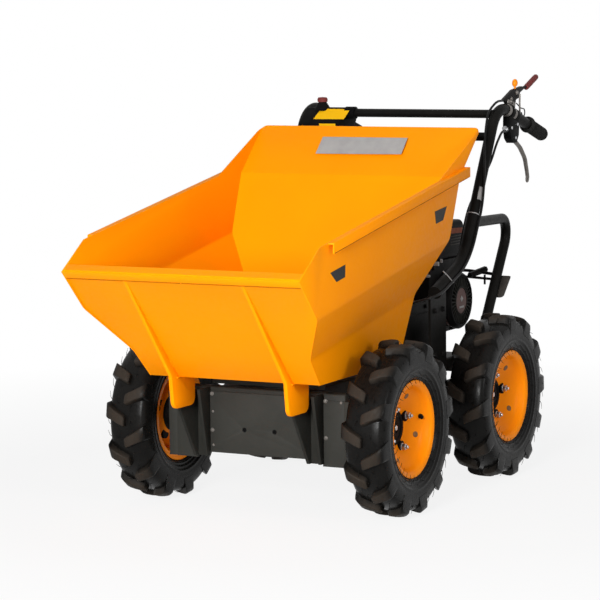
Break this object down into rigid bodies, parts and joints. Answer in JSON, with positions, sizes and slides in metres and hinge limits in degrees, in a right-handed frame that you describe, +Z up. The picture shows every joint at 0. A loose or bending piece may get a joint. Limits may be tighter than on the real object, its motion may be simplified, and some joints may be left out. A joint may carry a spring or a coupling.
{
  "type": "walk-behind mini dumper",
  "caption": "Four-wheel walk-behind motor barrow with an open sheet-steel skip that tips forward on a front hinge, a rear engine and two long handles.",
  "frame": {"origin": "centre of the bounding box's base, on the floor", "axes": "+Z up, -Y is the end the skip tips over, +X is the machine's left"},
  "size_m": [0.726, 1.458, 0.9978],
  "materials": {
    "tyre": "worn rubber, matt",
    "rim_paint": "gloss orange paint",
    "skip_paint": "gloss orange powder coat",
    "frame_paint": "satin dark grey paint",
    "tube_paint": "satin black paint",
    "engine_metal": "matt black",
    "black_plastic": "semi-matt black",
    "muffler_steel": "dull steel",
    "grip_foam": "matt foam rubber",
    "lever_alloy": "cast, satin",
    "red_grip": "soft matt",
    "orange_knob": "gloss"
  },
  "bodies": {
    "chassis": {"belt_guard": "black_plastic", "cable_clutch": "black_plastic", "cable_shift": "black_plastic", "console": "black_plastic", "crossbars": "tube_paint", "engine_block": "engine_metal", "frame": "frame_paint", "front_axle": "frame_paint", "front_plate": "frame_paint", "fuel_tank": "black_plastic", "grip_left": "grip_foam", "grip_right": "grip_foam", "handle_left": "tube_paint", "handle_right": "tube_paint", "handle_sleeve_left": "tube_paint", "handle_sleeve_right": "tube_paint", "hinge_bracket_left": "frame_paint", "hinge_bracket_right": "frame_paint", "lever_housing_left": "black_plastic", "lever_housing_right": "black_plastic", "lever_left": "lever_alloy", "lever_right": "lever_alloy", "muffler": "muffler_steel", "rear_axle": "frame_paint", "rear_guard_left": "tube_paint", "rear_guard_right": "tube_paint", "recoil_starter": "black_plastic", "shift_bracket": "tube_paint", "shift_grip": "red_grip", "throttle_knob": "orange_knob"},
    "skip": {"skip_back": "skip_paint", "skip_floor": "skip_paint", "skip_front": "skip_paint", "skip_rib_left": "skip_paint", "skip_rib_right": "skip_paint", "skip_side_left": "skip_paint", "skip_side_right": "skip_paint"},
    "wheel_front_left": {"tyre_front_left": "tyre", "rim_front_left": "rim_paint"},
    "wheel_front_right": {"tyre_front_right": "tyre", "rim_front_right": "rim_paint"},
    "wheel_rear_left": {"tyre_rear_left": "tyre", "rim_rear_left": "rim_paint"},
    "wheel_rear_right": {"tyre_rear_right": "tyre", "rim_rear_right": "rim_paint"}
  },
  "joints": [
    {"name": "skip_tip", "type": "hinge", "parent": "chassis", "child": "skip", "pos_m": [0, -0.45175, 0.292], "axis": [1, 0, 0], "range_deg": [0, 65]},
    {"name": "wheel_front_left_spin", "type": "hinge", "parent": "chassis", "child": "wheel_front_left", "pos_m": [0.311, -0.26025, 0.205], "axis": [1, 0, 0], "continuous": true},
    {"name": "wheel_front_right_spin", "type": "hinge", "parent": "chassis", "child": "wheel_front_right", "pos_m": [-0.311, -0.26025, 0.205], "axis": [1, 0, 0], "continuous": true},
    {"name": "wheel_rear_left_spin", "type": "hinge", "parent": "chassis", "child": "wheel_rear_left", "pos_m": [0.311, 0.30675, 0.205], "axis": [1, 0, 0], "continuous": true},
    {"name": "wheel_rear_right_spin", "type": "hinge", "parent": "chassis", "child": "wheel_rear_right", "pos_m": [-0.311, 0.30675, 0.205], "axis": [1, 0, 0], "continuous": true}
  ]
}
